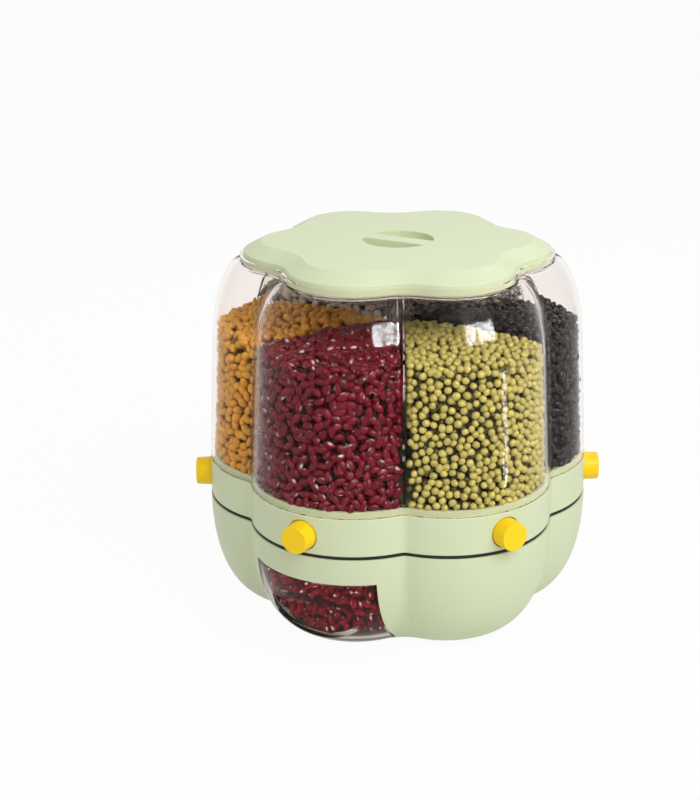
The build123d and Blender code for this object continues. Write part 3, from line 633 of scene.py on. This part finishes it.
# Painted shade: the dark blocks inside each heap, in a darkened tone of its grain
red_core = solid_plastic("kidney bean painted shade", shade(RED, 0.12), 0.9)
green_core = solid_plastic("mung bean painted shade", shade(GREEN, 0.08), 0.9)
black_core = solid_plastic("black bean painted shade", shade(BLACK, 0.3), 0.9)
speckled_core = solid_plastic("white grain painted shade", shade(SPECKLED, 0.3), 0.9)
pale_core = solid_plastic("pale seed painted shade", shade(PALE, 0.25), 0.9)
yellow_core = solid_plastic("yellow bean painted shade", shade(YELLOW, 0.2), 0.9)

grains = [
    fill_compartment(
        "grain_kidney_beans", 1, size=KIDNEY_SIZE, bend=KIDNEY_BEND, spacing=0.0050, facets=KIDNEY_FACETS,
        skin=red_skin, core_painted_shade=red_core, seed=11, tilt=0.35,
    ),
    fill_compartment(
        "grain_mung_beans", 2, size=(0.0056, 0.0052, 0.0052), bend=0.0, spacing=0.0045, facets=ROUND_FACETS,
        skin=green_skin, core_painted_shade=green_core, seed=12, tilt=0.3,
    ),
    fill_compartment(
        "grain_black_beans", 3, size=(0.0090, 0.0060, 0.0050), bend=0.0006, spacing=0.0052,
        facets=OVAL_FACETS, skin=black_skin, core_painted_shade=black_core, seed=13, tilt=0.4,
    ),
    fill_compartment(
        "grain_white", 4, size=(0.0052, 0.0044, 0.0042), bend=0.0, spacing=0.0042, facets=SMALL_FACETS,
        skin=speckled_skin, core_painted_shade=speckled_core, seed=14, tilt=0.4, level=GRAIN_LEVEL + WHITE_RISE,
    ),
    fill_compartment(
        "grain_pale_seeds", 5, size=(0.0112, 0.0078, 0.0040), bend=0.0, spacing=0.0064, facets=OVAL_FACETS,
        skin=pale_skin, core_painted_shade=pale_core, seed=15, tilt=0.4, level=GRAIN_LEVEL + PALE_RISE,
    ),
    fill_compartment(
        "grain_yellow_beans", 6, size=(0.0088, 0.0060, 0.0056), bend=0.0004, spacing=0.0052,
        facets=OVAL_FACETS, skin=yellow_skin, core_painted_shade=yellow_core, seed=16, tilt=0.4,
    ),
]
drawer_grain = fill_drawer(
    "grain_in_drawer", size=DRAWER_KIDNEY_SIZE, bend=KIDNEY_BEND, spacing=0.0054, facets=KIDNEY_FACETS,
    skin=red_skin, core_painted_shade=red_core, seed=17,
)

# Each return spring as an object with a mesh of its own, carried by the rotor in place of the CAD spring
for number in range(1, LOBE_COUNT + 1):
    node = nodes[f"spring_{number}"]
    coil = bpy.data.objects.new(f"return_spring_{number}", node.data.copy())
    bpy.context.scene.collection.objects.link(coil)
    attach(coil, "rotor")
    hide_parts(f"spring_{number}")
    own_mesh(coil)


def add_floor():
    """Pale floor that keeps the object's shadow."""
    bpy.ops.mesh.primitive_plane_add(size=FLOOR_SIZE, location=(0.0, 0.0, 0.0))
    floor = bpy.context.object
    floor.name = "floor"
    material, tree, output = new_material("pale floor")
    shader = principled(tree, output, FLOOR_COLOUR, FLOOR_ROUGHNESS)
    shader.inputs["Specular IOR Level"].default_value = 0.0
    white = tree.nodes.new("ShaderNodeEmission")
    seen = tree.nodes.new("ShaderNodeMath")
    seen.operation = "MULTIPLY"
    seen.inputs[1].default_value = FLOOR_WHITE_SHARE
    choice = tree.nodes.new("ShaderNodeMixShader")
    tree.links.new(either_ray(tree, *RAYS_TO_THE_EYE), seen.inputs[0])
    tree.links.new(seen.outputs["Value"], choice.inputs["Fac"])
    tree.links.new(shader.outputs["BSDF"], choice.inputs[1])
    tree.links.new(white.outputs["Emission"], choice.inputs[2])
    tree.links.new(choice.outputs["Shader"], output.inputs["Surface"])
    floor.data.materials.append(material)


def add_world():
    """White backdrop to the eye, softer grey light on the object."""
    world = bpy.data.worlds.new("studio")
    bpy.context.scene.world = world
    world.use_nodes = True
    tree = world.node_tree
    tree.nodes.clear()
    output = tree.nodes.new("ShaderNodeOutputWorld")
    seen = tree.nodes.new("ShaderNodeBackground")
    seen.inputs["Color"].default_value = (1.0, 1.0, 1.0, 1.0)
    lighting = tree.nodes.new("ShaderNodeBackground")
    lighting.inputs["Color"].default_value = (*WORLD_COLOUR, 1.0)
    lighting.inputs["Strength"].default_value = WORLD_STRENGTH
    choice = tree.nodes.new("ShaderNodeMixShader")
    tree.links.new(either_ray(tree, *RAYS_TO_THE_EYE), choice.inputs["Fac"])
    tree.links.new(lighting.outputs["Background"], choice.inputs[1])
    tree.links.new(seen.outputs["Background"], choice.inputs[2])
    tree.links.new(choice.outputs["Shader"], output.inputs["Surface"])


def add_softbox(name, azimuth, elevation, distance, width, height, power, only_on=None):
    """Rectangular lamp round the object; azimuth and elevation as for the camera."""
    turn, lift = radians(azimuth), radians(elevation)
    away = Vector((sin(turn) * cos(lift), -cos(turn) * cos(lift), sin(lift)))
    lamp = bpy.data.lights.new(name, "AREA")
    lamp.shape = "RECTANGLE"
    lamp.size = width
    lamp.size_y = height
    lamp.energy = power
    holder = bpy.data.objects.new(name, lamp)
    holder.location = VIEW_TARGET + away * distance
    holder.rotation_mode = "QUATERNION"
    holder.rotation_quaternion = away.to_track_quat("Z", "Y")
    holder.visible_camera = False
    bpy.context.scene.collection.objects.link(holder)
    if only_on:
        holder.light_linking.receiver_collection = only_on
    return holder


def lamp_group(name, pieces):
    """Group of the only pieces that a lamp lights."""
    group = bpy.data.collections.new(name)
    for piece in pieces:
        group.objects.link(piece)
    return group


def only_reflect(lamp):
    """Let a lamp show only as a reflection."""
    lamp.visible_diffuse = False
    lamp.visible_transmission = False


def add_window(clear_pieces):
    """Window of two panes, and a low strip, that show only as reflections on the clear pieces."""
    shown_on = lamp_group("clear pieces", clear_pieces)
    panes = [
        add_softbox(
            "narrow pane", azimuth=WINDOW_AZIMUTH + NARROW_PANE_TURN, elevation=WINDOW_ELEVATION,
            distance=1.3, width=0.24, height=0.39, power=WINDOW_POWER, only_on=shown_on,
        ),
        add_softbox(
            "wide pane", azimuth=WINDOW_AZIMUTH + WIDE_PANE_TURN, elevation=WINDOW_ELEVATION,
            distance=1.3, width=0.42, height=0.39, power=WINDOW_POWER * WIDE_PANE_SHARE, only_on=shown_on,
        ),
        add_softbox(
            "low strip", azimuth=86.0, elevation=-9.0, distance=0.55,
            width=0.05, height=0.16, power=STRIP_POWER, only_on=shown_on,
        ),
    ]
    for pane in panes:
        only_reflect(pane)


def add_camera():
    """The photograph's camera."""
    turn, lift = radians(VIEW_AZIMUTH), radians(VIEW_ELEVATION)
    back = Vector((sin(turn) * cos(lift), -cos(turn) * cos(lift), sin(lift)))
    lens = bpy.data.cameras.new("camera")
    lens.lens = LENS_MM
    lens.shift_x = LENS_SHIFT_X
    lens.shift_y = LENS_SHIFT_Y
    camera = bpy.data.objects.new("camera", lens)
    camera.location = VIEW_TARGET + back * VIEW_DISTANCE
    camera.rotation_mode = "QUATERNION"
    camera.rotation_quaternion = back.to_track_quat("Z", "Y")
    bpy.context.scene.collection.objects.link(camera)
    bpy.context.scene.camera = camera


add_floor()
add_world()
add_softbox("key", azimuth=70.0, elevation=42.0, distance=1.5, width=1.0, height=0.8, power=11.0)
add_softbox("front fill", azimuth=40.0, elevation=40.0, distance=1.5, width=1.0, height=0.8, power=4.5)
add_softbox("left fill", azimuth=-60.0, elevation=25.0, distance=1.6, width=0.8, height=1.0, power=2.0)
add_softbox("back", azimuth=190.0, elevation=45.0, distance=1.5, width=1.0, height=0.6, power=3.0)

# Lamps that light only the grain, as the clear plastic takes some of its light
in_tank = lamp_group("tank grain", grains)
in_drawer = lamp_group("drawer grain", [drawer_grain])
add_softbox(
    "left grain lamp", azimuth=-40.0, elevation=25.0, distance=1.3,
    width=0.25, height=0.25, power=2.0, only_on=in_tank,
)
add_softbox(
    "right grain lamp", azimuth=60.0, elevation=35.0, distance=1.3,
    width=0.25, height=0.25, power=3.0, only_on=in_tank,
)
only_reflect(add_softbox(
    "glint lamp", azimuth=50.0, elevation=45.0, distance=1.3,
    width=0.3, height=0.3, power=GLINT_POWER, only_on=in_tank,
))
add_softbox(
    "drawer lamp", azimuth=10.0, elevation=8.0, distance=1.0,
    width=0.4, height=0.3, power=DRAWER_LAMP_POWER, only_on=in_drawer,
)
add_window([nodes["tank"], nodes["measuring_drawer"]])
add_camera()

scene = bpy.context.scene
scene.view_settings.view_transform = "Standard"
scene.cycles.max_bounces = CLEAR_BOUNCES
scene.cycles.transmission_bounces = CLEAR_BOUNCES
scene.cycles.transparent_max_bounces = CLEAR_LAYERS
